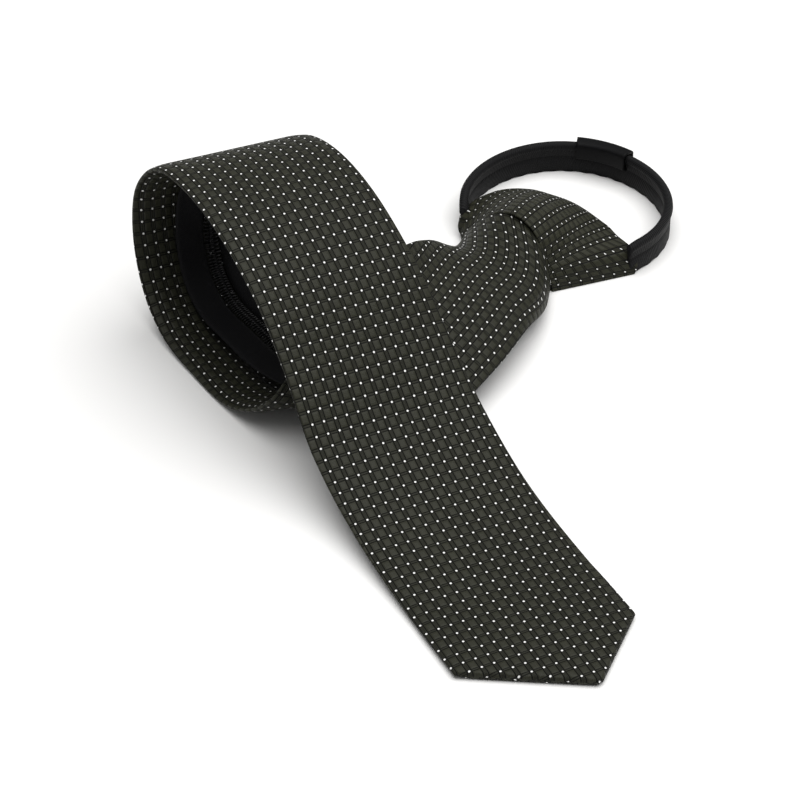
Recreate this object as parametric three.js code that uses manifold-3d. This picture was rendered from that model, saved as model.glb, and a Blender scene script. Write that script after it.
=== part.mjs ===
// Pin-dot zipper tie, lying in an easy roll on a flat surface. Millimetres, +Z up.
// The neck loop lies at the back, the pointed end of the blade at the front.

import * as THREE from "three";
import { mergeVertices } from "three/addons/utils/BufferGeometryUtils.js";
import Module from "manifold-3d";

const wasm = await Module();
wasm.setup();

// Blade: the long folded strip of cloth
const BLADE_LENGTH = 490; // along its middle, from inside the knot to the point
const BLADE_WIDTH = 57.5; // at the corners of the point, its widest place
const CLOTH_THICKNESS = 2.8; // folded cloth and interlining together
const POINT_LENGTH = 21; // from the corners to the point
const POINT_SHIFT = 6; // how far the point lies to the right of the middle
const ROLL_HEIGHT = 63; // top of the roll above the surface

// Zipper that lies along the back of the blade
const TAPE_WIDTH = 10; // each of the two woven tapes
const TAPE_THICKNESS = 0.9;
const CHAIN_WIDTH = 5; // closed coil between the tapes
const CHAIN_THICKNESS = 1.8;
const ZIPPER_LENGTH = 320; // from the knot to its stop, hidden under the upper leg
const FLOAT_HEIGHT = 5; // most that the free zipper rises off the cloth

// Knot: a hollow-looking cone of wrapped cloth, wide end down
const KNOT_WIDTH = 60; // wide end, along the neck loop
const KNOT_DEPTH = 39; // wide end, front to back
const KNOT_HEIGHT = 23; // its top above the surface

// Neck loop: the folded zipper tape that stands on its edge
const LOOP_RADIUS = 34.4; // to the middle of the band
const BAND_HEIGHT = 11.5;
const BAND_THICKNESS = 2;
const BEAD_DIAMETER = 3.2; // rolled upper edge of the band
const LOOP_RIGHT = 56; // middle of the loop from the middle of the roll's crossing
const LOOP_BACK = 99.3;

// Sleeve that closes the band at the nape
const SLEEVE_LENGTH = 21;
const SLEEVE_HEIGHT = 14;
const SLEEVE_WALL = 0.9;
const SLEEVE_ANGLE = 65; // where it sits round the loop, in degrees from the right

const CLEARANCE = 0.3; // between pieces that touch

// The blade's route. Each row is a section across the cloth: along, right and back are
// hundredths of BLADE_LENGTH, lift is hundredths of the roll's rise, turn and tilt are the
// direction across the cloth in degrees, width and dome are hundredths of BLADE_WIDTH, and
// float is hundredths of FLOAT_HEIGHT.
const ROUTE = [
  { along: 0, right: 7.5, back: 15.9, lift: 18, turn: -44, tilt: 0, width: 60, dome: 28, float: 20 },
  { along: 4.7, right: 7.0, back: 10.8, lift: 20.5, turn: -34, tilt: -14, width: 66, dome: 14, float: 14 },
  { along: 9, right: 5.1, back: 7.2, lift: 29, turn: -32, tilt: -20, width: 76, dome: 5, float: 5 },
  { along: 13, right: 3.0, back: 4.0, lift: 31, turn: -34, tilt: -25, width: 85, dome: 2, float: 0 },
  { along: 17.1, right: 0.7, back: 0.6, lift: 28.5, turn: -30, tilt: -27, width: 88, dome: 0, float: 0 },
  { along: 20.4, right: -1.0, back: -2.1, lift: 25.5, turn: -17, tilt: -29, width: 88, dome: 0, float: 0 },
  { along: 22.7, right: -2.1, back: -3.3, lift: 19, turn: 3, tilt: -27, width: 88, dome: 0, float: 0 },
  { along: 24.9, right: -3.3, back: -2.9, lift: 13, turn: 19, tilt: -18, width: 88, dome: 0, float: 10 },
  { along: 27.8, right: -5.0, back: -0.9, lift: 6.5, turn: 28, tilt: -7, width: 88, dome: 0, float: 60 },
  { along: 31.4, right: -7.0, back: 2.0, lift: 1.2, turn: 32, tilt: 0, width: 88, dome: 0, float: 100 },
  { along: 35.5, right: -9.2, back: 5.5, lift: 0.7, turn: 33, tilt: 0, width: 88, dome: 0, float: 90 },
  { along: 39.2, right: -11.1, back: 8.6, lift: 3, turn: 33, tilt: -2, width: 88, dome: 0, float: 60 },
  { along: 42.7, right: -12.5, back: 11.3, lift: 15, turn: 34, tilt: -5, width: 88, dome: 0, float: 40 },
  { along: 46.1, right: -13.1, back: 12.4, lift: 42, turn: 33, tilt: -5, width: 89, dome: 0, float: 20 },
  { along: 49.4, right: -12.8, back: 12.2, lift: 71, turn: 33, tilt: -5, width: 90, dome: 0, float: 10 },
  { along: 52.9, right: -11.5, back: 10.5, lift: 93, turn: 35, tilt: -5, width: 90, dome: 0, float: 0 },
  { along: 57, right: -9.3, back: 7.3, lift: 100, turn: 36, tilt: -4, width: 91, dome: 0, float: 0 },
  { along: 62, right: -6.8, back: 3.1, lift: 96, turn: 34, tilt: -4, width: 92, dome: 0, float: 0 },
  { along: 67.1, right: -4.4, back: -0.9, lift: 78, turn: 33, tilt: -5, width: 93, dome: 0, float: 0 },
  { along: 72.2, right: -2.3, back: -4.3, lift: 52, turn: 31, tilt: -5, width: 93, dome: 0, float: 0 },
  { along: 77.3, right: -0.3, back: -8.0, lift: 26, turn: 28, tilt: -2, width: 94, dome: 0, float: 0 },
  { along: 83.5, right: 2.5, back: -13.1, lift: 8, turn: 26, tilt: 0, width: 96, dome: 0, float: 0 },
  { along: 90.6, right: 6.0, back: -19.4, lift: 0, turn: 26, tilt: 0, width: 98, dome: 0, float: 0 },
  { along: 100, right: 10.3, back: -27.9, lift: 0, turn: 27, tilt: 0, width: 101, dome: 0, float: 0 },
];

// The knot's sections from its wide end on the surface to the mouth that the blade leaves by.
// right and back are hundredths of KNOT_WIDTH from the foot's middle, lift is hundredths of
// KNOT_HEIGHT, long is hundredths of KNOT_WIDTH, short of KNOT_DEPTH, turn and lean degrees.
const KNOT_FOOT = { right: 49, back: 87 };
const KNOT_SECTIONS = [
  { right: 0, back: 0, lift: 0, long: 96, short: 94, turn: -22, lean: 0 },
  { right: -1, back: -2, lift: 14, long: 100, short: 98, turn: -23, lean: 6 },
  { right: -4, back: -6, lift: 32, long: 95, short: 91, turn: -27, lean: 24 },
  { right: -9, back: -13, lift: 45, long: 83, short: 75, turn: -32, lean: 44 },
  { right: -14, back: -20, lift: 49, long: 72, short: 62, turn: -37, lean: 60 },
  { right: -18, back: -27, lift: 49, long: 67, short: 60, turn: -40, lean: 72 },
];

const degrees = THREE.MathUtils.degToRad;

// A smooth value of one column at a place along a table.
function smooth(table, key, column, at) {
  let i = 0;
  while (i < table.length - 2 && table[i + 1][key] < at) i += 1;
  const span = table[i + 1][key] - table[i][key];
  const slope = (k) => {
    const before = table[Math.max(k - 1, 0)];
    const after = table[Math.min(k + 1, table.length - 1)];
    return (after[column] - before[column]) / (after[key] - before[key]);
  };
  const t = (at - table[i][key]) / span;
  const t2 = t * t;
  const t3 = t2 * t;
  return (2 * t3 - 3 * t2 + 1) * table[i][column] + (t3 - 2 * t2 + t) * slope(i) * span
    + (3 * t2 - 2 * t3) * table[i + 1][column] + (t3 - t2) * slope(i + 1) * span;
}

// Numbers from one value to another in equal steps
function evenly(from, to, steps) {
  return Array.from({ length: steps + 1 }, (_, i) => from + (to - from) * i / steps);
}

// A closed body through rings of points, each ring seen anticlockwise from the end it leads to.
function loft(rings) {
  const count = rings[0].length;
  const positions = rings.flat();
  const indices = [];
  for (let r = 0; r < rings.length - 1; r += 1) {
    for (let k = 0; k < count; k += 1) {
      const next = (k + 1) % count;
      const a = r * count + k;
      const b = r * count + next;
      indices.push(a, b, b + count, a, b + count, a + count);
    }
  }
  for (const [start, flip] of [[0, true], [(rings.length - 1) * count, false]]) {
    const middle = positions.length;
    const centre = new THREE.Vector3();
    for (let k = 0; k < count; k += 1) centre.add(positions[start + k]);
    positions.push(centre.divideScalar(count));
    for (let k = 0; k < count; k += 1) {
      const next = (k + 1) % count;
      if (flip) indices.push(middle, start + next, start + k);
      else indices.push(middle, start + k, start + next);
    }
  }
  const geometry = new THREE.BufferGeometry().setFromPoints(positions);
  geometry.setIndex(indices);
  return geometry;
}

// Geometry to a solid for cutting, and back.
function toSolid(geometry) {
  const bare = new THREE.BufferGeometry();
  bare.setAttribute("position", geometry.getAttribute("position").clone());
  bare.setIndex(geometry.getIndex().clone());
  const merged = mergeVertices(bare, 1e-5);
  return new wasm.Manifold(new wasm.Mesh({
    numProp: 3,
    vertProperties: new Float32Array(merged.getAttribute("position").array),
    triVerts: new Uint32Array(merged.getIndex().array),
  }));
}

function toGeometry(solid) {
  const mesh = solid.getMesh();
  const geometry = new THREE.BufferGeometry();
  geometry.setAttribute("position", new THREE.BufferAttribute(mesh.vertProperties, 3));
  geometry.setIndex(new THREE.BufferAttribute(mesh.triVerts, 1));
  return geometry;
}

// The cloth's middle, the direction across it and its front side, at a share of its length.
function bladeFrame(share) {
  const point = (s) => new THREE.Vector3(
    smooth(ROUTE, "along", "right", s) / 100 * BLADE_LENGTH,
    smooth(ROUTE, "along", "back", s) / 100 * BLADE_LENGTH,
    CLOTH_THICKNESS / 2
      + Math.max(smooth(ROUTE, "along", "lift", s), 0) / 100 * (ROLL_HEIGHT - CLOTH_THICKNESS),
  );
  const at = share * 100;
  const turn = degrees(smooth(ROUTE, "along", "turn", at));
  const tilt = degrees(smooth(ROUTE, "along", "tilt", at));
  const across = new THREE.Vector3(
    Math.cos(tilt) * Math.cos(turn),
    Math.cos(tilt) * Math.sin(turn),
    Math.sin(tilt),
  );
  const ahead = point(Math.min(at + 0.05, 100)).sub(point(Math.max(at - 0.05, 0))).normalize();
  const front = ahead.clone().cross(across).normalize();
  return { middle: point(at), across, ahead, front };
}

// How far the cloth reaches to each side of its middle, with the point at the end.
function bladeSides(share) {
  const half = smooth(ROUTE, "along", "width", share * 100) / 200 * BLADE_WIDTH;
  const left = share * BLADE_LENGTH - (BLADE_LENGTH - POINT_LENGTH);
  const closing = THREE.MathUtils.clamp(left / POINT_LENGTH, 0, 0.985);
  return {
    left: -half + closing * (half + POINT_SHIFT),
    right: half + closing * (POINT_SHIFT - half),
  };
}

// A flat strip with rounded edges that follows the blade through the given shares of its length.
function strip({ shares, sides, thickness, behind, edgeSteps }) {
  const rings = [];
  for (const share of shares) {
    const { middle, across, front } = bladeFrame(share);
    const { left, right } = sides(share);
    const wide = smooth(ROUTE, "along", "width", share * 100) / 200 * BLADE_WIDTH;
    const dome = smooth(ROUTE, "along", "dome", share * 100) / 100 * BLADE_WIDTH;
    const offset = behind(share);
    const place = (w, depth) => {
      const sag = dome * ((w / wide) ** 2 - 0.4);
      return middle.clone().addScaledVector(across, w).addScaledVector(front, depth - sag - offset);
    };
    const half = thickness / 2;
    const soft = Math.min(half, (right - left) / 4);
    const ring = [];
    for (let k = 0; k <= edgeSteps; k += 1) {
      const w = THREE.MathUtils.lerp(left + soft, right - soft, k / edgeSteps);
      ring.push(place(w, -half));
    }
    ring.push(place(right, 0));
    for (let k = edgeSteps; k >= 0; k -= 1) {
      const w = THREE.MathUtils.lerp(left + soft, right - soft, k / edgeSteps);
      ring.push(place(w, half));
    }
    ring.push(place(left, 0));
    rings.push(ring);
  }
  return loft(rings);
}

const CORNER_SHARE = 1 - POINT_LENGTH / BLADE_LENGTH;
const BLADE_SHARES = [...evenly(0, CORNER_SHARE, 124), ...evenly(CORNER_SHARE, 1, 6).slice(1)];
const ZIPPER_SHARES = BLADE_SHARES.filter((share) => share <= ZIPPER_LENGTH / BLADE_LENGTH);

// The folded cloth of the blade
function bladeBody() {
  return strip({
    shares: BLADE_SHARES,
    sides: bladeSides,
    thickness: CLOTH_THICKNESS,
    behind: () => 0,
    edgeSteps: 6,
  });
}

// A length of the zipper behind the cloth, between two distances from its middle line
function zipperStrip(left, right, thickness) {
  const seat = CLOTH_THICKNESS / 2 + CLEARANCE + CHAIN_THICKNESS / 2;
  return strip({
    shares: ZIPPER_SHARES,
    sides: () => ({ left, right }),
    thickness,
    behind: (share) => seat + Math.max(smooth(ROUTE, "along", "float", share * 100), 0) / 100 * FLOAT_HEIGHT,
    edgeSteps: 2,
  });
}

// The knot, grown by a clearance where it cuts its neighbours
function knotBody(grow) {
  const rings = [];
  const last = KNOT_SECTIONS.length - 1;
  for (const [i, row] of KNOT_SECTIONS.entries()) {
    const turn = degrees(row.turn);
    const lean = degrees(row.lean);
    const wide = new THREE.Vector3(Math.cos(turn), Math.sin(turn), 0);
    const level = new THREE.Vector3(-Math.sin(turn), Math.cos(turn), 0);
    const deep = level.multiplyScalar(Math.cos(lean)).add(new THREE.Vector3(0, 0, Math.sin(lean)));
    const centre = new THREE.Vector3(
      KNOT_FOOT.right + row.right / 100 * KNOT_WIDTH,
      KNOT_FOOT.back + row.back / 100 * KNOT_WIDTH,
      row.lift / 100 * KNOT_HEIGHT,
    );
    if (i === 0) centre.z -= grow;
    if (i === last) centre.addScaledVector(wide.clone().cross(deep), grow);
    const ring = [];
    for (let k = 0; k < 28; k += 1) {
      const angle = k / 28 * 2 * Math.PI;
      const long = row.long / 200 * KNOT_WIDTH + grow;
      const short = row.short / 200 * KNOT_DEPTH + grow;
      ring.push(centre.clone()
        .addScaledVector(wide, long * Math.cos(angle))
        .addScaledVector(deep, short * Math.sin(angle)));
    }
    rings.push(ring);
  }
  return loft(rings);
}

// The band's outline across its height: a flat tape with a rolled upper edge
function bandOutline() {
  const half = BAND_THICKNESS / 2;
  const bead = BEAD_DIAMETER / 2;
  const beadHeight = BAND_HEIGHT - BEAD_DIAMETER / 2;
  const outline = [[-half, 0], [half, 0]];
  for (let k = 0; k <= 6; k += 1) {
    const angle = degrees(-50 + 280 * k / 6);
    outline.push([bead * Math.cos(angle), beadHeight + bead * Math.sin(angle)]);
  }
  return outline;
}

// A stretch of the neck loop between two angles, in degrees from the right, led clockwise
function loopStretch(fromAngle, toAngle, steps, outline) {
  const rings = [];
  for (let i = 0; i <= steps; i += 1) {
    const angle = degrees(fromAngle + (toAngle - fromAngle) * i / steps);
    rings.push(outline.map(([out, up]) => new THREE.Vector3(
      LOOP_RIGHT + (LOOP_RADIUS + out) * Math.cos(angle),
      LOOP_BACK + (LOOP_RADIUS + out) * Math.sin(angle),
      up,
    )));
  }
  return loft(rings);
}

// The sleeve's outline, at a distance inside its outer face
function sleeveOutline(inside) {
  const half = BEAD_DIAMETER / 2 + CLEARANCE + SLEEVE_WALL - inside;
  const top = BAND_HEIGHT + CLEARANCE + SLEEVE_WALL - inside;
  return [[-half, inside], [half, inside], [half, top], [-half, top]];
}

const cloth = new THREE.MeshStandardMaterial({ color: 0x2b2b27, roughness: 0.6, metalness: 0 });
const satin = new THREE.MeshStandardMaterial({ color: 0x121214, roughness: 0.5, metalness: 0 });
const coil = new THREE.MeshStandardMaterial({ color: 0x0e0e10, roughness: 0.4, metalness: 0 });

function named(name, geometry, material) {
  const mesh = new THREE.Mesh(geometry, material);
  mesh.name = name;
  return mesh;
}

const tie = new THREE.Group();
const knotSpace = toSolid(knotBody(CLEARANCE));

const blade = toSolid(bladeBody()).subtract(knotSpace);
tie.add(named("blade", toGeometry(blade), cloth));
tie.add(named("knot", knotBody(0), cloth));

const chainHalf = CHAIN_WIDTH / 2;
const zipperPieces = [
  ["zipper_tape_left", -chainHalf - CLEARANCE - TAPE_WIDTH, -chainHalf - CLEARANCE, TAPE_THICKNESS, satin],
  ["zipper_chain", -chainHalf, chainHalf, CHAIN_THICKNESS, coil],
  ["zipper_tape_right", chainHalf + CLEARANCE, chainHalf + CLEARANCE + TAPE_WIDTH, TAPE_THICKNESS, satin],
];
for (const [name, left, right, thickness, material] of zipperPieces) {
  const piece = toSolid(zipperStrip(left, right, thickness)).subtract(knotSpace);
  tie.add(named(name, toGeometry(piece), material));
}

const sleeveHalf = THREE.MathUtils.radToDeg(SLEEVE_LENGTH / 2 / LOOP_RADIUS);
function sleeveBody(reach, steps, inside) {
  return toSolid(loopStretch(SLEEVE_ANGLE + reach, SLEEVE_ANGLE - reach, steps, sleeveOutline(inside)));
}
const sleeve = sleeveBody(sleeveHalf, 8, 0).subtract(sleeveBody(2 * sleeveHalf, 16, SLEEVE_WALL));
tie.add(named("nape_sleeve", toGeometry(sleeve), satin));

// The band's lower edge steps up where the sleeve passes under it.
const stepUp = SLEEVE_WALL + CLEARANCE;
const stepWidth = BAND_THICKNESS;
const stepReach = sleeveHalf + THREE.MathUtils.radToDeg(CLEARANCE / LOOP_RADIUS);
const step = toSolid(loopStretch(SLEEVE_ANGLE + stepReach, SLEEVE_ANGLE - stepReach, 8, [
  [-stepWidth, -stepUp],
  [stepWidth, -stepUp],
  [stepWidth, stepUp],
  [-stepWidth, stepUp],
]));
const band = toSolid(loopStretch(200, -60, 90, bandOutline())).subtract(knotSpace).subtract(step);
tie.add(named("neck_band", toGeometry(band), satin));

// The part's origin is the middle of its footprint, on the surface it lies on.
const box = new THREE.Box3().setFromObject(tie);
const middle = box.getCenter(new THREE.Vector3());
tie.position.set(-middle.x, -middle.y, -box.min.z);

export default tie;
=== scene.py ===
import math
import bpy
import numpy as np
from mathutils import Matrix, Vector


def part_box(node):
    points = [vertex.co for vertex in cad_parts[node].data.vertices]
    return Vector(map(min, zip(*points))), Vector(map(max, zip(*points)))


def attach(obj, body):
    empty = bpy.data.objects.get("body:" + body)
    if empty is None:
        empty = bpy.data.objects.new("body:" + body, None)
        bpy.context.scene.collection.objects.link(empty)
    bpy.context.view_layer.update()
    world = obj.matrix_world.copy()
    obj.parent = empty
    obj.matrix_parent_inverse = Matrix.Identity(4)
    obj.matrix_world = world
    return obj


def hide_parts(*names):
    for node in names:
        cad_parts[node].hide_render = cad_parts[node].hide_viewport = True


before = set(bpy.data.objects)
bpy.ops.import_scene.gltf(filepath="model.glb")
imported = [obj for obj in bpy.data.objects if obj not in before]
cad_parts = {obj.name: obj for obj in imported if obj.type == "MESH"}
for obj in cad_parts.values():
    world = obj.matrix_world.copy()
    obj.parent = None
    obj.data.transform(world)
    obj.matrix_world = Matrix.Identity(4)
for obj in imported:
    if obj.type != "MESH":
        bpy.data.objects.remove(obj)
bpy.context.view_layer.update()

# Blade

# The blade is one length of pin-dot jacquard folded round an interlining, so that its two long
# edges are soft folds and its back is two flaps with the zipper between them. It leaves the knot
# as an arch, goes round a loose roll and ends flat on the table in a stitched point.

BLADE_LENGTH = 490.0
BLADE_WIDTH = 57.5
CLOTH_THICKNESS = 2.8
POINT_LENGTH = 21.0
POINT_SHIFT = 6.0  # the point lies this far right of the blade's middle
ROLL_HEIGHT = 63.0
FLOAT_HEIGHT = 5.0  # how far the zipper stands off the cloth at most
TABLE_GAP = 0.05  # the knot and the band come no nearer to the table than this

# Half the steps over which the cloth's directions are measured
LINE_STEP = 0.25
ALONG_STEP = 0.6
ACROSS_STEP = 0.3
END_MARGIN = 0.3  # the route is read no nearer to the blade's two ends than this

DOME_ABOVE = 0.25  # share of a dome's height that lies above the route
DOME_REACH = 1.05  # past this share of half the width a dome falls no further

WELD = 0.000004  # vertices nearer than this are one, in metres

# The loop's middle and outer reach, from which the tie's place in the frame is read
LOOP_RIGHT = 56.0
LOOP_BACK = 99.3
LOOP_RADIUS = 34.4
BEAD_DIAMETER = 3.2
loop_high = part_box("neck_band")[1]
tie_place = np.array([
    loop_high[0] * 1000 - (LOOP_RIGHT + LOOP_RADIUS + BEAD_DIAMETER / 2),
    loop_high[1] * 1000 - (LOOP_BACK + LOOP_RADIUS + BEAD_DIAMETER / 2),
    0.0,
])

# A row for each section across the cloth: along, right and back in hundredths of the blade's
# length, lift in hundredths of the roll's rise, the turn and tilt of the line across the cloth in
# degrees, width, dome and the left edge's curl in hundredths of the blade's width, the powers that
# shape the dome's two sides, float in hundredths of its height. Not all of it was chosen by hand:
# the places and turns of many rows follow a fit made by a program.
ROUTE_COLUMNS = ("along", "right", "back", "lift", "turn", "tilt", "width", "dome", "left_power",
                 "right_power", "curl", "float")
ROUTE = np.array([
    (0, 7.4, 15.9, 23, -44, 0, 62, 31, 1.5, 3.4, 4, 20),
    (4.7, 6.8, 10.8, 22, -34, -11, 63, 15, 2.2, 4, 6, 14),
    (9, 4.9, 7.2, 29, -32, -20, 74, 5, 3, 4, 10, 5),
    (13, 3.0, 4.0, 31, -34, -25, 82, 2, 3, 3, 15, 0),
    (17.1, 0.6, 0.6, 28.5, -30, -27, 86, 0, 3, 3, 10, 0),
    (20.4, -1.0, -2.1, 25.5, -17, -29, 88, 0, 3, 3, 3, 0),
    (22.7, -2.1, -3.3, 19, 3, -27, 88, 0, 3, 3, 0, 0),
    (24.9, -3.3, -2.9, 13, 19, -18, 88, 0, 3, 3, 0, 10),
    (27.8, -5.0, -0.9, 6.5, 28, -7, 88, 0, 3, 3, 0, 60),
    (31.4, -7.0, 2.0, 1.2, 32, 0, 88, 0, 3, 3, 0, 100),
    (35.5, -9.2, 5.5, 0.7, 33, 0, 88, 0, 3, 3, 0, 90),
    (39.2, -11.1, 8.6, 3, 33, -2, 88, 0, 3, 3, 0, 60),
    (42.7, -12.5, 11.3, 15, 34, -5, 88, 0, 3, 3, 0, 40),
    (46.1, -12.9, 12.5, 42, 33, -6, 91, 0, 3, 3, 0, 20),
    (49.4, -12.4, 12.3, 71, 33, -8.5, 95, 0, 3, 3, 0, 10),
    (52.9, -11.0, 10.8, 93, 35, -7.5, 96, 0, 3, 3, 0, 0),
    (57, -8.9, 7.6, 100, 36, -5, 97, 0, 3, 3, 0, 0),
    (62, -6.5, 3.4, 96, 34, -4, 97, 0, 3, 3, 0, 0),
    (67.1, -4.05, -0.7, 78, 33, -5, 98, 0, 3, 3, 0, 0),
    (72.2, -2.05, -4.1, 52, 31, -5, 99, 0, 3, 3, 0, 0),
    (77.3, -0.1, -7.9, 26, 28, -2, 100, 0, 3, 3, 0, 0),
    (83.5, 2.6, -13.05, 8, 26, 0, 99, 0, 3, 3, 0, 0),
    (90.6, 6.0, -19.4, 0, 26, 0, 100, 0, 3, 3, 0, 0),
    (100, 10.3, -27.9, 0, 27, 0, 102, 0, 3, 3, 0, 0),
], dtype=float)


def smooth(table, names, column, at):
    """A smooth value of one column, at places along the table's first column."""
    keys = table[:, 0]
    values = table[:, names.index(column)]
    slopes = np.empty_like(values)
    slopes[1:-1] = (values[2:] - values[:-2]) / (keys[2:] - keys[:-2])
    slopes[0] = (values[1] - values[0]) / (keys[1] - keys[0])
    slopes[-1] = (values[-1] - values[-2]) / (keys[-1] - keys[-2])
    at = np.asarray(at, dtype=float)
    i = np.clip(np.searchsorted(keys, at) - 1, 0, len(keys) - 2)
    span = keys[i + 1] - keys[i]
    t = (at - keys[i]) / span
    return ((2 * t**3 - 3 * t**2 + 1) * values[i] + (t**3 - 2 * t**2 + t) * slopes[i] * span
            + (3 * t**2 - 2 * t**3) * values[i + 1] + (t**3 - t**2) * slopes[i + 1] * span)


def route(column, s):
    """A column of the blade's route at distances s along it, in millimetres."""
    return smooth(ROUTE, ROUTE_COLUMNS, column, np.asarray(s) / BLADE_LENGTH * 100)


def middle_line(s):
    """The route itself: the middle of the cloth's width at distances s along it."""
    lift = np.maximum(route("lift", s), 0) / 100 * (ROLL_HEIGHT - CLOTH_THICKNESS)
    return np.stack([route("right", s) / 100 * BLADE_LENGTH,
                     route("back", s) / 100 * BLADE_LENGTH,
                     CLOTH_THICKNESS / 2 + lift], axis=-1)


def unit(vectors):
    return vectors / np.linalg.norm(vectors, axis=-1, keepdims=True)


def across_line(s):
    """The direction from the blade's left edge to its right."""
    turn = np.radians(route("turn", s))
    tilt = np.radians(route("tilt", s))
    return np.stack([np.cos(tilt) * np.cos(turn), np.cos(tilt) * np.sin(turn), np.sin(tilt)], axis=-1)


def cloth_point(s, w):
    """The middle of the cloth's thickness at distance s along the blade and w across it."""
    s = np.clip(s, END_MARGIN, BLADE_LENGTH - END_MARGIN)
    ahead = unit(middle_line(s + LINE_STEP) - middle_line(s - LINE_STEP))
    across = across_line(s)
    front = unit(np.cross(ahead, across))
    wide = route("width", s) / 200 * BLADE_WIDTH
    dome = np.maximum(route("dome", s), 0) / 100 * BLADE_WIDTH
    power = np.where(np.asarray(w) < 0, route("left_power", s), route("right_power", s))
    sag = dome * (np.minimum(np.abs(w / wide), DOME_REACH) ** power - DOME_ABOVE)
    sag -= np.maximum(route("curl", s), 0) / 100 * BLADE_WIDTH * np.maximum(-w / wide, 0) ** 3
    return middle_line(s) + across * np.asarray(w)[..., None] - front * sag[..., None]


def cloth_normal(s, w):
    """The direction that the patterned front faces."""
    ahead = cloth_point(np.clip(s + ALONG_STEP, 0, BLADE_LENGTH), w)
    behind = cloth_point(np.clip(s - ALONG_STEP, 0, BLADE_LENGTH), w)
    across = cloth_point(s, w + ACROSS_STEP) - cloth_point(s, w - ACROSS_STEP)
    return unit(np.cross(ahead - behind, across))


def close_mesh(piece, weld=0.0):
    """Welds the vertices that meet, turns the faces outwards and shades them smooth."""
    bpy.ops.object.select_all(action="DESELECT")
    piece.select_set(True)
    bpy.context.view_layer.objects.active = piece
    bpy.ops.object.mode_set(mode="EDIT")
    bpy.ops.mesh.select_all(action="SELECT")
    if weld:
        bpy.ops.mesh.remove_doubles(threshold=weld)
    bpy.ops.mesh.normals_make_consistent(inside=False)
    bpy.ops.object.mode_set(mode="OBJECT")
    bpy.ops.object.shade_smooth()


def cloth_shell(name, points, uv):
    """A closed mesh through rows of rings: a grid primitive is wrapped, welded and turned outwards."""
    rows, columns = points.shape[:2]
    bpy.ops.object.select_all(action="DESELECT")
    bpy.ops.mesh.primitive_grid_add(x_subdivisions=columns - 1, y_subdivisions=rows - 1, size=2)
    piece = bpy.context.object
    piece.name = name
    mesh = piece.data
    flat = np.empty(len(mesh.vertices) * 3)
    mesh.vertices.foreach_get("co", flat)
    flat = flat.reshape(-1, 3)
    column = np.rint((flat[:, 0] + 1) / 2 * (columns - 1)).astype(int)
    row = np.rint((flat[:, 1] + 1) / 2 * (rows - 1)).astype(int)
    placed = (points[row, column] + tie_place) / 1000
    mesh.vertices.foreach_set("co", placed.ravel())
    corner = np.empty(len(mesh.loops), dtype=np.int32)
    mesh.loops.foreach_get("vertex_index", corner)
    mesh.uv_layers[0].data.foreach_set("uv", uv[row[corner], column[corner]].ravel())
    close_mesh(piece, WELD)
    return piece


# The weave's repeat across and along the cloth, one pale dot to each cell
CELL_ACROSS = 3.833
CELL_ALONG = 3.863
HIDDEN_START = 23.0  # length of the blade inside the knot
DOT_ROW = 362.6  # a row of dots lies this far from the knot
DOT_ROW_COUNT = 100  # and is counted as this one, so that no count is under 0
# Cells by which the lines of dots are shifted across the blade, at distances along it
DRIFT_COLUMNS = ("along", "cells")
DRIFT = np.array([
    (0, 2.1), (10, 2.7), (23, 3.04), (83, 4.64), (120, 4.8), (220, 4.2), (258, 4.07), (490, 2.45),
], dtype=float)
HALF_CLOTH = CLOTH_THICKNESS / 2
FOLD_RADIUS = 0.6  # the pressed folds are thinner than the lined middle
FOLD_RISE = 0.3  # and lie nearer to the front
FOLD_REACH = 5.0
ZIPPER_GAP = 9.8  # from the middle to each flap's inner edge
FLAP_EDGE = 0.995  # the flaps' edges and the gap's floor end at these shares of it
GAP_FLOOR = 0.98
GAP_DEPTH = 0.75  # share of half the cloth's thickness
GAP_END = 425.0  # where the gap starts to close behind the point
GAP_CLOSING = 12.0
END_BLEND = 400.0  # where the rows start to turn towards the point's two edges
CORNER = BLADE_LENGTH - POINT_LENGTH

GAP_COLUMNS = 5
FLAP_COLUMNS = 9
FOLD_COLUMNS = 9
FRONT_COLUMNS = 33
BODY_ROWS = 340
BODY_START = 1.5
BODY_MARGIN = 3.0  # between the last of these rows and the point
ROUND_END = (0, 0.08, 0.3, 0.7, 1.4)  # rows that round off the point, by their distance from it


def blade_columns():
    """Part, place and side of each column, from the middle of the back round the cloth to it."""
    back = [("gap", x) for x in np.linspace(0, 1, GAP_COLUMNS)]
    back += [("flap", x) for x in np.linspace(0, 1, FLAP_COLUMNS)]
    back += [("fold", x) for x in np.linspace(-1, 1, FOLD_COLUMNS)[1:-1]]
    front = [("front", x) for x in np.linspace(1, -1, FRONT_COLUMNS)]
    return [(part, x, 1) for part, x in back + front] + [(part, x, -1) for part, x in reversed(back)]


def blade_rows():
    """Distances along the middle, and how much of the thickness each row keeps."""
    keep = [math.sqrt(max(0.0, 1 - (1 - d / HALF_CLOTH) ** 2)) for d in ROUND_END]
    body = list(np.linspace(BODY_START, BLADE_LENGTH - BODY_MARGIN, BODY_ROWS))
    distances = [0.0] + body + [BLADE_LENGTH - d for d in reversed(ROUND_END)]
    thickness = [0.0] + [1.0] * len(body) + list(reversed(keep))
    return np.array(distances), np.array(thickness)


distances, thickness = blade_rows()
columns = blade_columns()
points = np.empty((len(distances), len(columns), 3))
weave = np.empty((len(distances), len(columns), 2))
half_width = route("width", np.minimum(distances, CORNER)) / 200 * BLADE_WIDTH
flat_half = half_width - FOLD_RADIUS
gap_open = 1 - np.clip((distances - GAP_END) / GAP_CLOSING, 0, 1)
# What the rounded end adds to the cloth's length
quarter_turn = math.pi / 2
rolled = np.where(thickness < 1, HALF_CLOTH * (quarter_turn - np.arcsin(thickness) - 1)
                  + BLADE_LENGTH - distances, 0)
rolled[0] = 0


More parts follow.
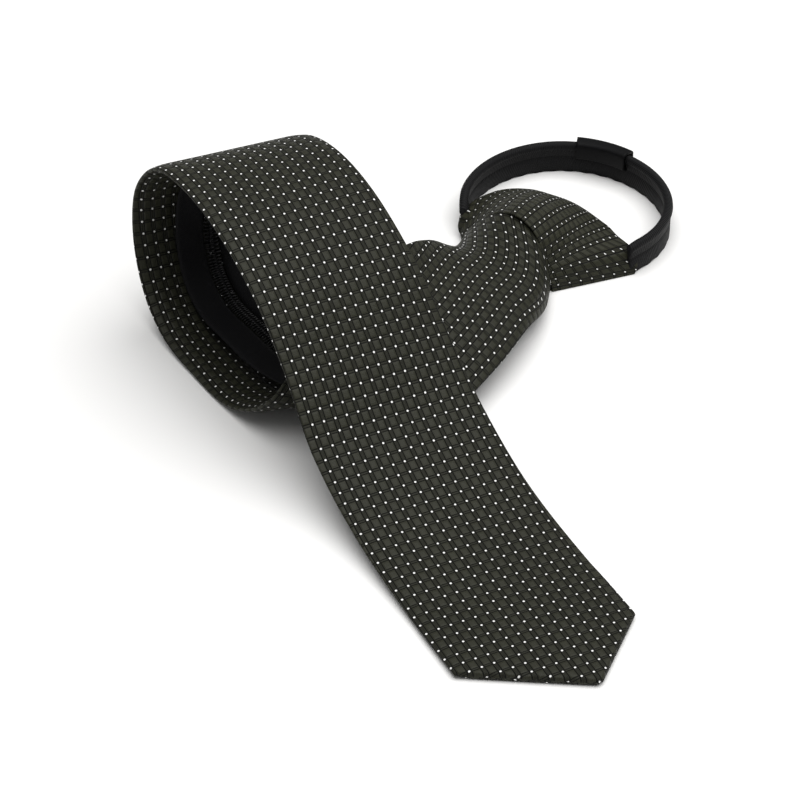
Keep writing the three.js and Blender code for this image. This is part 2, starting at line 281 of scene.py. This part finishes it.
def near_fold(w):
    """How near a place across the blade is to its folded edge, from 0 to 1 at the edge."""
    return 1 - np.clip((flat_half - np.abs(w)) / FOLD_REACH, 0, 1)


def unrolled_back(w, side):
    """Where a place on the back lies once the cloth is opened out round its folded edge."""
    return side * (flat_half + FOLD_RADIUS * math.pi + flat_half - abs(w))


for c, (part, place, side) in enumerate(columns):
    if part == "front":
        w = flat_half * place
        depth = HALF_CLOTH - (HALF_CLOTH - FOLD_RISE - FOLD_RADIUS) * near_fold(w) ** 2
        unrolled = w
    elif part == "fold":
        angle = place * quarter_turn
        w = side * (flat_half + FOLD_RADIUS * math.cos(angle))
        depth = np.full_like(w, FOLD_RISE + FOLD_RADIUS * math.sin(angle))
        unrolled = side * (flat_half + FOLD_RADIUS * (quarter_turn - angle))
    elif part == "flap":
        inner = ZIPPER_GAP * (1 if place > 0 else FLAP_EDGE)
        w = side * (inner + (flat_half - inner) * place)
        depth = (HALF_CLOTH + FOLD_RISE - FOLD_RADIUS) * near_fold(w) ** 2 - HALF_CLOTH
        unrolled = unrolled_back(w, side)
    else:
        w = side * np.full_like(flat_half, ZIPPER_GAP * GAP_FLOOR * place)
        depth = HALF_CLOTH * (gap_open * GAP_DEPTH - 1)
        unrolled = unrolled_back(w, side)
    reach = half_width + np.where(w > POINT_SHIFT, -POINT_SHIFT, POINT_SHIFT)
    end = BLADE_LENGTH - POINT_LENGTH * np.abs(w - POINT_SHIFT) / reach
    share = np.clip((distances - END_BLEND) / (BLADE_LENGTH - END_BLEND), 0, 1)
    s = np.where(distances < END_BLEND, distances, END_BLEND + share * (end - END_BLEND))
    depth = depth * thickness
    points[:, c] = cloth_point(s, w) + cloth_normal(s, w) * depth[:, None]
    cells = smooth(DRIFT, DRIFT_COLUMNS, "cells", distances)
    weave[:, c, 0] = unrolled / CELL_ACROSS - cells
    weave[:, c, 1] = (s + rolled - HIDDEN_START - DOT_ROW) / CELL_ALONG + DOT_ROW_COUNT

blade = cloth_shell("blade_cloth", points, weave)


class Shade:
    """A shader value that adds its Math nodes when Python works with it."""

    def __init__(self, tree, socket):
        self.tree = tree
        self.socket = socket

    def maths(self, operation, *others):
        node = self.tree.nodes.new("ShaderNodeMath")
        node.operation = operation
        for slot, value in enumerate((self, *others)):
            if isinstance(value, Shade):
                self.tree.links.new(value.socket, node.inputs[slot])
            else:
                node.inputs[slot].default_value = value
        return Shade(self.tree, node.outputs[0])

    def __add__(self, other):
        return self.maths("ADD", other)

    def __sub__(self, other):
        return self.maths("SUBTRACT", other)

    def __mul__(self, other):
        return self.maths("MULTIPLY", other)

    def __truediv__(self, other):
        return self.maths("DIVIDE", other)

    def __rsub__(self, other):
        return self.maths("MULTIPLY", -1.0) + other

    def __abs__(self):
        return self.maths("ABSOLUTE")

    __radd__ = __add__

    def wave(self, rate):
        """A wave between 0 and 1, at a rate in radians to each unit of the value."""
        return (self * rate).maths("SINE") * 0.5 + 0.5

    def between(self, low, high):
        """0 at low and under, 1 at high and over, smooth between; the other way if low > high."""
        node = self.tree.nodes.new("ShaderNodeMapRange")
        node.interpolation_type = "SMOOTHSTEP"
        self.tree.links.new(self.socket, node.inputs["Value"])
        start, stop = (low, high) if low < high else (high, low)
        node.inputs["From Min"].default_value = start
        node.inputs["From Max"].default_value = stop
        node.inputs["To Min"].default_value = 0.0 if low < high else 1.0
        node.inputs["To Max"].default_value = 1.0 if low < high else 0.0
        return Shade(self.tree, node.outputs["Result"])


OBJECT_SPACE = 3  # which output of a coordinate node gives it


class Finish:
    """A material that is built up from its nodes."""

    def __init__(self, name):
        self.material = bpy.data.materials.new(name)
        self.material.use_nodes = True
        self.tree = self.material.node_tree
        self.tree.nodes.clear()

    def node(self, kind, settings=None, **sockets):
        """A node with its settings and its sockets, by name or as n and their number."""
        node = self.tree.nodes.new("ShaderNode" + kind)
        for key, value in (settings or {}).items():
            setattr(node, key, value)
        for key, value in sockets.items():
            socket = node.inputs[int(key[1:])] if key[0] == "n" and key[1:].isdigit() \
                else node.inputs[key.replace("_", " ")]
            if isinstance(value, Shade):
                self.tree.links.new(value.socket, socket)
            else:
                socket.default_value = value
        return node

    def shade(self, node, output=0):
        return Shade(self.tree, node.outputs[output])

    def weave_axes(self):
        """The piece's own UV map as two values."""
        uv = self.shade(self.node("UVMap"))
        parts = self.node("SeparateXYZ", n0=uv)
        return self.shade(parts, 0), self.shade(parts, 1)

    def noise(self, scale):
        """Uneven grain in the piece's own space, its scale in waves to a metre."""
        place = self.shade(self.node("TexCoord"), OBJECT_SPACE)
        return self.shade(self.node("TexNoise", Vector=place, Scale=scale, Detail=2.0))

    def blend(self, factor, first, second):
        """One colour into another by a factor."""
        node = self.node("Mix", {"data_type": "RGBA"}, n0=factor, n6=first, n7=second)
        return self.shade(node, 2)

    def finish(self, colour, roughness, height=None, height_scale=None, specular=0.5):
        """The material itself, with a relief whose scale is in metres where height is given."""
        surface = self.node("BsdfPrincipled", Base_Color=colour, Roughness=roughness)
        surface.inputs["Specular IOR Level"].default_value = specular
        if height is not None:
            bump = self.node("Bump", Height=height, Strength=1.0, Distance=height_scale)
            self.tree.links.new(bump.outputs[0], surface.inputs["Normal"])
        out = self.node("OutputMaterial")
        self.tree.links.new(surface.outputs[0], out.inputs[0])
        return self.material


def toned(colour, share):
    """A colour at a share of its strength, as a colour socket takes it."""
    return (*[value * share for value in colour], 1)


# Parts of the weave, in cells from a dot's middle or from the nearest line of dots. A pair says
# where a part starts to show and where it shows in full.
DOT_EDGE = (0.112, 0.072)
RING_EDGE = (0.19, 0.13)
LINES_CLEAR = (0.12, 0.2)
RIB_EDGE = (0.17, 0.13)
LINE_LONG = 0.175
LINE_CROSS = 0.10
THREAD_LONG = 0.10
DOT_COLOUR = (0.85, 0.85, 0.83, 1)
THREAD_RATE = 44.0  # in radians to a cell
PICK_RATE = 50.0
GRAIN = 900.0  # the scale of fine noise, and below that of broad noise
BLOTCH = 45.0
PIN_DOT_RELIEF = 0.00042  # in metres


def pin_dot_cloth(name, lit, dot_size=1.0):
    """Satin squares between narrow ribs, with a pale dot where the ribs cross."""
    cloth = Finish(name)
    across, along = cloth.weave_axes()
    # Distance from the nearest line of dots, in cells
    from_column = abs((across + 0.5).maths("FRACT") - 0.5)
    from_row = abs((along + 0.5).maths("FRACT") - 0.5)
    radius = (from_column * from_column + from_row * from_row).maths("SQRT") / dot_size
    dot = radius.between(*DOT_EDGE)
    ring = radius.between(*RING_EDGE)
    # Two thin grooves run beside each line of dots, both ways, painted dark as painted shade,
    # and raised threads inside them, painted lighter as a painted highlight
    line_long = abs(from_column - LINE_LONG).between(0.045, 0.018)
    line_cross = abs(from_row - LINE_CROSS).between(0.040, 0.016)
    rib = from_column.between(*RIB_EDGE)
    raised_thread_and_sheen = abs(from_column - THREAD_LONG).between(0.05, 0.01) * from_row.between(0.12, 0.2)
    square = from_column.between(0.17, 0.23) * from_row.between(0.09, 0.15)
    lines = line_long.maths("MAXIMUM", line_cross) * radius.between(*LINES_CLEAR)
    threads = across.wave(THREAD_RATE)
    picks = along.wave(PICK_RATE)
    mottle = cloth.noise(GRAIN)
    broad = cloth.noise(BLOTCH)
    # The raised threads are painted lighter in the colour here, a painted highlight for their sheen
    tone = (square * 0.3 + threads * 0.12 + mottle * 0.45 + broad * 0.35
            - rib * 0.25 + raised_thread_and_sheen * 0.35)
    ground = cloth.blend(tone, toned(lit, 0.5), toned(lit, 1.5))
    # The grooves are painted near black here, painted shade in the recesses beside the dots
    ground = cloth.blend(lines, ground, toned(lit, 0.04))
    ground = cloth.blend(ring * 0.7, ground, toned(lit, 0.1))
    colour = cloth.blend(dot, ground, DOT_COLOUR)
    # Each square stands up as a small pillow between its ribs
    pillow = from_column.between(0.16, 0.36) * from_row.between(0.06, 0.34)
    height = pillow * 0.45 + square * 0.35 + rib * 0.25 + raised_thread_and_sheen * 0.3 + dot * 0.7 - lines * 0.6
    height = height + threads * picks * 0.08 + mottle * 0.12
    roughness = 0.55 - square * 0.10 + mottle * 0.10
    return cloth.finish(colour, roughness, height, PIN_DOT_RELIEF, specular=0.16)


OLIVE_BLACK = (0.0168, 0.0172, 0.0108)
blade.data.materials.append(pin_dot_cloth("pin_dot_cloth", OLIVE_BLACK))
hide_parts("blade")
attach(blade, "root")

# Zipper

# A nylon coil zipper of plain woven tape runs down the back of the blade and pulls the neck loop
# tight. Its tapes are sewn to the flaps' inner edges; where the blade bends it lifts off the cloth.

CLEARANCE = 0.3
TAPE_WIDTH = 10.0
TAPE_THICKNESS = 0.9
CHAIN_WIDTH = 5.0
CHAIN_THICKNESS = 1.8
ZIPPER_LENGTH = 320.0
TAPE_START = 4.0
TAPE_ROWS = 230
TAPE_COLUMNS = 9
SELVEDGE = 0.25  # share of the tape's thickness that its two edges keep
SELVEDGE_POWER = 12  # the higher, the narrower the rounded edges
TAPE_BLACK = (0.003, 0.003, 0.0035, 1)


def zipper_depth(s):
    """How far behind the cloth's middle the zipper's own middle lies."""
    seat = HALF_CLOTH + CLEARANCE + CHAIN_THICKNESS / 2
    return seat + np.maximum(route("float", s), 0) / 100 * FLOAT_HEIGHT


def tape(name, left, right, material):
    """One woven tape, a thin strip with rounded selvedges."""
    half = TAPE_THICKNESS / 2
    ring = [(x, -1.0) for x in np.linspace(0, 1, TAPE_COLUMNS)]
    ring += [(x, 1.0) for x in np.linspace(1, 0, TAPE_COLUMNS)]
    ring.append(ring[0])
    rows = np.linspace(TAPE_START, ZIPPER_LENGTH, TAPE_ROWS)
    keep = np.ones_like(rows)
    keep[[0, -1]] = 0
    points = np.empty((len(rows), len(ring), 3))
    weave = np.empty((len(rows), len(ring), 2))
    for c, (x, side) in enumerate(ring):
        w = np.full_like(rows, left + (right - left) * x)
        edge = math.sqrt(max(0.0, 1 - abs(2 * x - 1) ** SELVEDGE_POWER))
        depth = side * half * (SELVEDGE + (1 - SELVEDGE) * edge) * keep - zipper_depth(rows)
        points[:, c] = cloth_point(rows, w) + cloth_normal(rows, w) * depth[:, None]
        weave[:, c] = np.stack([np.full_like(rows, (right - left) * x), rows], axis=-1)
    piece = cloth_shell(name, points, weave)
    piece.data.materials.append(material)
    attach(piece, "root")
    return piece


def tape_finish():
    """Black twill with fine ribs along the tape."""
    woven = Finish("zipper_tape_twill")
    across, along = woven.weave_axes()
    twill = (across + along).wave(9.0)
    ribs = across.wave(12.0)
    mottle = woven.noise(1200.0)
    colour = woven.blend(twill * 0.5 + mottle * 0.5, TAPE_BLACK, (0.008, 0.008, 0.009, 1))
    height = twill * 0.6 + ribs * 0.4
    return woven.finish(colour, 0.62 + mottle * 0.1, height, 0.00008, specular=0.12)


tape_material = tape_finish()
inner = CHAIN_WIDTH / 2 + CLEARANCE
left_tape = tape("zipper_left_tape", -inner - TAPE_WIDTH, -inner, tape_material)
right_tape = tape("zipper_right_tape", inner, inner + TAPE_WIDTH, tape_material)
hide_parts("zipper_tape_left")
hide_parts("zipper_tape_right")

# Zipper coil

# Two coils of nylon monofilament interlock down the middle. Each turn is a bowed bar from just
# past the middle to its own side, and the turns take sides in order.

HALF_PITCH = 0.65
COIL_START = 6.0
COIL_MARGIN = 1.0  # between the last turn and the tapes' end
TURN_SIDES = 6
TURN_RADIUS = 0.34
TURN_END = 0.55  # share of its radius that a turn keeps at its two ends
TURN_OVERLAP = 0.5  # how far past the middle a turn reaches
TURN_BOW = np.array([0.35, 0.55, 0.6, 0.45, 0.0])
AHEAD_STEP = 0.5
turn_rings = len(TURN_BOW)
turn_reach = np.linspace(-TURN_OVERLAP, CHAIN_WIDTH / 2, turn_rings)
vertices = []
faces = []
for s in np.arange(COIL_START, ZIPPER_LENGTH - COIL_MARGIN, HALF_PITCH):
    first = len(vertices)
    side = 1 if round(s / HALF_PITCH) % 2 else -1
    w = turn_reach * side
    at = np.full_like(w, s)
    middle = cloth_point(at, w)
    normal = cloth_normal(at, w)
    ahead = unit(cloth_point(at + AHEAD_STEP, w) - cloth_point(at - AHEAD_STEP, w))
    depth = -zipper_depth(at)
    for r in range(turn_rings):
        radius = TURN_RADIUS * (TURN_END if r in (0, turn_rings - 1) else 1)
        for k in range(TURN_SIDES):
            angle = k / TURN_SIDES * 2 * math.pi
            rise = depth[r] - TURN_BOW[r] + radius * math.sin(angle)
            vertices.append(middle[r] + normal[r] * rise + ahead[r] * radius * math.cos(angle))
    for r in range(turn_rings - 1):
        for k in range(TURN_SIDES):
            a = first + r * TURN_SIDES + k
            b = first + r * TURN_SIDES + (k + 1) % TURN_SIDES
            faces.append((a, b, b + TURN_SIDES, a + TURN_SIDES))
    last = first + (turn_rings - 1) * TURN_SIDES
    faces.append(tuple(first + k for k in range(TURN_SIDES)))
    faces.append(tuple(last + k for k in reversed(range(TURN_SIDES))))
coil_mesh = bpy.data.meshes.new("zipper_coil")
coil_mesh.from_pydata([tuple((v + tie_place) / 1000) for v in vertices], [], faces)
coil = bpy.data.objects.new("zipper_coil", coil_mesh)
bpy.context.collection.objects.link(coil)
close_mesh(coil)
nylon = Finish("nylon_coil")
nylon_colour = nylon.blend(nylon.noise(1500.0), TAPE_BLACK, (0.007, 0.007, 0.008, 1))
coil.data.materials.append(nylon.finish(nylon_colour, 0.38, specular=0.3))
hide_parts("zipper_chain")
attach(coil, "root")

# Knot

# The knot is the same cloth wrapped and sewn round a moulded form. It lies on its wide end, and
# the blade comes out of its raised narrow mouth under a turned lip.

KNOT_WIDTH = 60.0
KNOT_HEIGHT = 22.0
KNOT_RIGHT = 49.0
KNOT_BACK = 87.0
MOUTH_MIDDLE = np.array([KNOT_RIGHT - 13.5, KNOT_BACK - 12.5, 8.0])
RIM_MIDDLE = np.array([KNOT_RIGHT, KNOT_BACK, 4.0])
MOUTH_CELL = 0.45  # the weave's count of cells at the mouth
# Sections from the mouth to the rim, each at its count of lines of dots, from the front bottom edge
# over the knot's top to its left and back underneath: where each leaves the mouth and reaches the
# rim, right and back in hundredths of the knot's width from its middle, up and swell in hundredths
# of its height, and the dots along it. The mouth and rim columns of rows 4 to 14.4 stand as a
# program printed them and weren't chosen by hand.
KNOT_COLUMNS = ("row", "mouth_right", "mouth_back", "mouth_up", "rim_right", "rim_back", "rim_up",
                "swell", "dots")
KNOT_FOLDS = np.array([
    (0.6, 2.2, -45.5, 1, 47.8, -28.2, 1, 0, 7.4),
    (1, 1.5, -44.8, 10, 49.0, -26.6, 6, 1, 7.6),
    (2, 0.3, -43.7, 18, 49.2, -24.0, 20, 4, 8.6),
    (3, -0.8, -42.5, 27, 45.4, -19.6, 35, 8, 9.7),
    (4, -2.7, -40.7, 35, 38.6, -13.2, 43, 11, 10.8),
    (5, -3.7, -39.7, 45, 34.3, -5.3, 45, 13, 11.6),
    (6, -4.3, -39.0, 59, 28.9, 2.8, 45, 14, 12.1),
    (7, -6.3, -37.0, 77, 23.5, 10.5, 45, 14, 12.2),
    (8, -9.8, -33.5, 91, 17.9, 17.4, 45, 14, 12.2),
    (9, -14.7, -28.7, 99, 11.7, 23.0, 45, 14, 11.9),
    (10, -20.0, -23.3, 100, 5.1, 26.9, 45, 14, 11.8),
    (11, -26.8, -16.5, 91, -0.9, 30.8, 45, 13, 11.5),
    (12, -32.0, -11.3, 77, -7.6, 33.6, 45, 12, 9.2),
    (13.3, -37.3, -6.0, 57, -18.3, 35.5, 43, 11, 7.5),
    (14.4, -40.0, -3.3, 41, -28.5, 33.4, 41, 9, 6.2),
    (15.6, -42.7, -0.7, 25, -40.2, 26.5, 36, 6, 4.4),
    (17, -46.0, 2.5, 10, -47.6, 18.6, 25, 3, 2.9),
    (18, -47.0, 3.2, 1, -48.2, 16.4, 7, 0, 2.3),
    (18.6, -45, 1.6, 0, -45, 14, 0, 0, 3),
    (21.5, -21, -22, 0, 0, -7, 0, 0, 6),
    (24, -1, -42.5, 0, 42.5, -26.5, 0, 0, 7.4),
    (24.6, 2.2, -45.5, 1, 47.8, -28.2, 1, 0, 7.4),
], dtype=float)
KNOT_UNITS = np.array([KNOT_WIDTH, KNOT_WIDTH, KNOT_HEIGHT]) / 100


def knot_edge(edge, row):
    """The mouth's or the rim's line, at counts of lines of dots round the knot."""
    ring = np.stack([smooth(KNOT_FOLDS, KNOT_COLUMNS, edge + way, row)
                     for way in ("_right", "_back", "_up")], axis=-1) * KNOT_UNITS
    return ring + np.array([KNOT_RIGHT, KNOT_BACK, 0.0])


KNOT_START, KNOT_UNDER, KNOT_END = 0.6, 18.6, 24.6  # seen from start to under, hidden to end
TOP_COLUMN = 70  # a column on the knot's top
seen_rows = np.linspace(KNOT_START, KNOT_UNDER, 145)
knot_rows = np.concatenate([seen_rows, np.linspace(KNOT_UNDER, KNOT_END, 25)[1:]])
mouth = knot_edge("mouth", knot_rows)
rim = knot_edge("rim", knot_rows)
swell = np.maximum(smooth(KNOT_FOLDS, KNOT_COLUMNS, "swell", knot_rows), 0) / 100 * KNOT_HEIGHT
dots = smooth(KNOT_FOLDS, KNOT_COLUMNS, "dots", knot_rows)
fold_way = unit(rim - mouth)
round_way = unit(np.roll(mouth + rim, -1, axis=0) - np.roll(mouth + rim, 1, axis=0))
outward = unit(np.cross(fold_way, round_way))
outward *= np.sign(outward[TOP_COLUMN, 2])
inward = unit(RIM_MIDDLE - MOUTH_MIDDLE)


def shrunk(ring, middle, inset, push):
    """A ring drawn in towards its middle by a length and pushed along the knot's axis."""
    away = ring - middle
    far = np.linalg.norm(away, axis=-1, keepdims=True)
    moved = middle + away * np.maximum(far - inset, 0) / far + push
    moved[:, 2] = np.maximum(moved[:, 2], TABLE_GAP)
    return moved


# Rings from deep in the mouth, over its turned lip, along the cloth and round the rim to the back.
# Each turned ring is an inset and a push. The weave's cells on the lip are counted from the mouth.
LIP_TURNS = ((30, 4), (1.3, 4), (1.2, 0.7), (0.9, 0.2), (0.4, 0))
LIP_CELLS = (-2.0, -1.6, -0.5, -0.25, -0.1)
RIM_TURNS = ((0.5, 0.5), (1.3, 0.6), (2.0, 0), (2.6, -2), (3.4, -5), (60, -6))
RIM_SHARE = 0.03  # of the dots along the cloth, for each turned ring
along_row = np.linspace(0, 1, 44)
rings = [shrunk(mouth, MOUTH_MIDDLE, inset, inward * push) for inset, push in LIP_TURNS]
for p in along_row:
    ring = mouth + (rim - mouth) * p + outward * (swell * 4 * p * (1 - p))[:, None]
    ring[:, 2] = np.maximum(ring[:, 2], TABLE_GAP)
    rings.append(ring)
rings += [shrunk(rim, RIM_MIDDLE, inset, inward * push) for inset, push in RIM_TURNS]
points = np.stack(rings)
past_rim = [1 + RIM_SHARE * k for k in range(1, len(RIM_TURNS) + 1)]
weave = np.empty(points.shape[:2] + (2,))
weave[..., 0] = knot_rows
for r, cells in enumerate(LIP_CELLS):
    weave[r, :, 1] = cells + MOUTH_CELL
for r, p in enumerate([*along_row, *past_rim], len(LIP_CELLS)):
    weave[r, :, 1] = dots * p + MOUTH_CELL
knot = cloth_shell("knot_cloth", points, weave)
# The same cloth as the blade, painted about a tenth lighter on the knot as painted light
KNOT_BLACK_WITH_PAINTED_LIGHT = (0.0186, 0.0190, 0.0114)
knot.data.materials.append(pin_dot_cloth("pin_dot_knot_cloth", KNOT_BLACK_WITH_PAINTED_LIGHT, dot_size=0.82))
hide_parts("knot")
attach(knot, "root")

# Neck band

# Folded zipper tape with a cord sewn into its upper edge stands round the neck; its two ends go
# into the sides of the knot.

BAND_HEIGHT = 11.5
BAND_THICKNESS = 2.0
BAND_START, BAND_END = -56, 184  # in degrees round the loop, one row to each
STITCH_HEIGHT = 6.1
GROOVE_DEPTH = 0.35
HEM_TOP = 0.3
HEM_SHARE = 0.6  # of the band's thickness that its lower edge keeps
HEM_RIPPLE = 0.25
HEM_WAVES = 37  # to a whole turn round the loop
NAPE_STRETCH = 0.045
# The band is pressed lower by these shares where it goes into the knot, over these many rows
RIGHT_PRESS, RIGHT_ROWS = 0.10, 9
LEFT_PRESS, LEFT_ROWS = 0.36, 14
BEAD_START, BEAD_SWEEP, BEAD_STEPS = -50, 280, 12  # the corded edge's arc, in degrees
bead = BEAD_DIAMETER / 2
bead_height = BAND_HEIGHT - bead
half_band = BAND_THICKNESS / 2
# Up the band's side: the hem, the stitched groove with its two edges and the bead's foot
side_heights = (HEM_TOP, 3.0, 5.6, STITCH_HEIGHT, 6.6, bead_height - 1.3)
band_profile = [(-half_band, z) for z in reversed(side_heights)]
band_profile += [(-half_band * HEM_SHARE, 0.0), (half_band * HEM_SHARE, 0.0)]
band_profile += [(half_band, z) for z in side_heights]
for k in range(BEAD_STEPS + 1):
    angle = math.radians(BEAD_START + BEAD_SWEEP * k / BEAD_STEPS)
    band_profile.append((bead * math.cos(angle), bead_height + bead * math.sin(angle)))
band_profile.append(band_profile[0])
band_angles = np.radians(np.linspace(BAND_START, BAND_END, BAND_END - BAND_START + 1))
from_right = np.arange(len(band_angles))
right_press = RIGHT_PRESS * np.clip(1 - from_right / RIGHT_ROWS, 0, 1) ** 2
left_press = LEFT_PRESS * np.clip(1 - from_right[::-1] / LEFT_ROWS, 0, 1) ** 2
band_rise = 1 - right_press - left_press


def loop_place(radius, angle):
    """A place on the neck loop, which reaches a little further to the nape than a circle."""
    stretch = 1 + NAPE_STRETCH * np.maximum(np.sin(angle), 0)
    return LOOP_RIGHT + radius * np.cos(angle), LOOP_BACK + radius * stretch * np.sin(angle)


points = np.empty((len(band_angles), len(band_profile), 3))
weave = np.empty((len(band_angles), len(band_profile), 2))
for c, (out, up) in enumerate(band_profile):
    groove = GROOVE_DEPTH if up == STITCH_HEIGHT and abs(out) == half_band else 0.0
    radius = LOOP_RADIUS + out - math.copysign(groove, out)
    ripple = HEM_RIPPLE * np.sin(band_angles * HEM_WAVES) * (1 if up <= HEM_TOP else 0)
    right, back = loop_place(radius, band_angles)
    points[:, c] = np.stack([right, back, np.maximum(up * band_rise + ripple, TABLE_GAP)], axis=-1)
    weave[:, c] = np.stack([np.full_like(band_angles, up + out), band_angles * LOOP_RADIUS], axis=-1)
for row in (0, -1):
    points[row] = points[row].mean(axis=0)
band = cloth_shell("neck_tape", points, weave)


def band_finish():
    """Black tape with slanting ribs."""
    ribbed = Finish("neck_tape_weave")
    across, along = ribbed.weave_axes()
    ribs = (along * 7.5 + across * 3.0).maths("SINE") * 0.5 + 0.5
    mottle = ribbed.noise(GRAIN)
    dark = (0.003, 0.003, 0.0033, 1)
    colour = ribbed.blend(ribs * 0.5 + mottle * 0.5, dark, (0.008, 0.008, 0.0086, 1))
    return ribbed.finish(colour, 0.55 + mottle * 0.1, ribs, 0.00012, specular=0.14)


band.data.materials.append(band_finish())
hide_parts("neck_band")
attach(band, "root")

# Nape sleeve

# A short tube of plain satin, folded flat and pressed over the band at the nape, hides its join.

SLEEVE_LENGTH = 19.4
SLEEVE_INSIDE = 6.2  # its inner side stops at about half the band's height
SLEEVE_WALL = 0.9
SLEEVE_ANGLE = 65.0  # the sleeve's middle, in degrees round the loop
SLEEVE_SPREAD = math.degrees(SLEEVE_LENGTH / 2 / LOOP_RADIUS)
SLEEVE_CORNER = 1.6  # outside
HOLLOW_CORNER = 1.0
CORNER_STEPS = 5
INSIDE_SQUEEZE = 0.5  # what the inner side's lower corners keep of their height
SLEEVE_ROWS = 30
sleeve_side = bead + CLEARANCE + SLEEVE_WALL
sleeve_top = BAND_HEIGHT + CLEARANCE + SLEEVE_WALL


def rounded_ring(inset, corner):
    """The sleeve's outline across the band, with soft corners and its inner side cut short."""
    side = sleeve_side - inset - corner
    low, high = inset + corner, sleeve_top - inset - corner
    ring = []
    for x, z, start in ((side, low, -90), (side, high, 0), (-side, high, 90), (-side, low, 180)):
        for k in range(CORNER_STEPS + 1):
            angle = math.radians(start + 90 * k / CORNER_STEPS)
            out = x + corner * math.cos(angle)
            up = z + corner * math.sin(angle)
            if out < 0 and up < SLEEVE_INSIDE:
                up = SLEEVE_INSIDE + inset + (up - inset) * INSIDE_SQUEEZE
            ring.append((out, up))
    ring.append(ring[0])
    return ring


outer_ring = rounded_ring(0.0, SLEEVE_CORNER)
inner_ring = rounded_ring(SLEEVE_WALL, HOLLOW_CORNER)
sleeve_angles = np.radians(np.linspace(SLEEVE_ANGLE - SLEEVE_SPREAD, SLEEVE_ANGLE + SLEEVE_SPREAD,
                                       SLEEVE_ROWS))
sleeve_rows = [(outer_ring, a) for a in sleeve_angles]
sleeve_rows += [(inner_ring, a) for a in reversed(sleeve_angles)]
sleeve_rows.append(sleeve_rows[0])
points = np.empty((len(sleeve_rows), len(outer_ring), 3))
weave = np.empty((len(sleeve_rows), len(outer_ring), 2))
for r, (ring, angle) in enumerate(sleeve_rows):
    for c, (out, up) in enumerate(ring):
        points[r, c] = (*loop_place(LOOP_RADIUS + out, angle), up)
        weave[r, c] = (angle * LOOP_RADIUS, up + out)
sleeve = cloth_shell("nape_satin", points, weave)


def satin_finish():
    """Black satin with fine threads along the sleeve."""
    satin = Finish("nape_satin_weave")
    along, up = satin.weave_axes()
    threads = up.wave(16.0)
    mottle = satin.noise(700.0)
    colour = satin.blend(mottle, (0.002, 0.002, 0.0022, 1), (0.004, 0.004, 0.0044, 1))
    return satin.finish(colour, 0.46, threads * 0.4 + mottle * 0.6, 0.00006, specular=0.08)


sleeve.data.materials.append(satin_finish())
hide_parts("nape_sleeve")
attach(sleeve, "root")

# Table, light and camera

# A plain white table under a large overhead softbox, seen from the front and above.

bpy.ops.object.select_all(action="DESELECT")
bpy.ops.mesh.primitive_plane_add(size=6.0, location=(0, 0, 0))
floor = bpy.context.object
floor.name = "floor"
OFF_WHITE = (0.87, 0.865, 0.855, 1)
floor.data.materials.append(Finish("white_board").finish(OFF_WHITE, 0.8, specular=0.05))

ROOM_LIGHT = 0.27
world = bpy.data.worlds.new("studio")
bpy.context.scene.world = world
bpy.context.scene.view_settings.view_transform = "Standard"
world.use_nodes = True
world.node_tree.nodes["Background"].inputs["Color"].default_value = (1, 1, 1, 1)
world.node_tree.nodes["Background"].inputs["Strength"].default_value = ROOM_LIGHT


def softbox(name, place, aim, size, power):
    """A round soft lamp, its places and size in metres and its power in watts."""
    lamp = bpy.data.lights.new(name, "AREA")
    lamp.shape = "DISK"
    lamp.size = size
    lamp.energy = power
    holder = bpy.data.objects.new(name, lamp)
    bpy.context.collection.objects.link(holder)
    holder.location = place
    holder.rotation_euler = (Vector(aim) - Vector(place)).to_track_quat("-Z", "Y").to_euler()


softbox("overhead", place=(0.2, 0.0, 1.2), aim=(0, 0, 0), size=2.0, power=27)

CAMERA_DISTANCE = 0.9375
CAMERA_RISE = math.radians(36.4)
SENSOR_WIDTH = 36
LENS = 135
look_at = Vector(tie_place / 1000)
camera_data = bpy.data.cameras.new("camera")
camera_data.sensor_width = SENSOR_WIDTH
camera_data.lens = LENS
camera = bpy.data.objects.new("camera", camera_data)
bpy.context.collection.objects.link(camera)
camera.location = look_at + Vector((0, -CAMERA_DISTANCE * math.cos(CAMERA_RISE),
                                    CAMERA_DISTANCE * math.sin(CAMERA_RISE)))
camera.rotation_euler = (look_at - camera.location).to_track_quat("-Z", "Y").to_euler()
bpy.context.scene.camera = camera
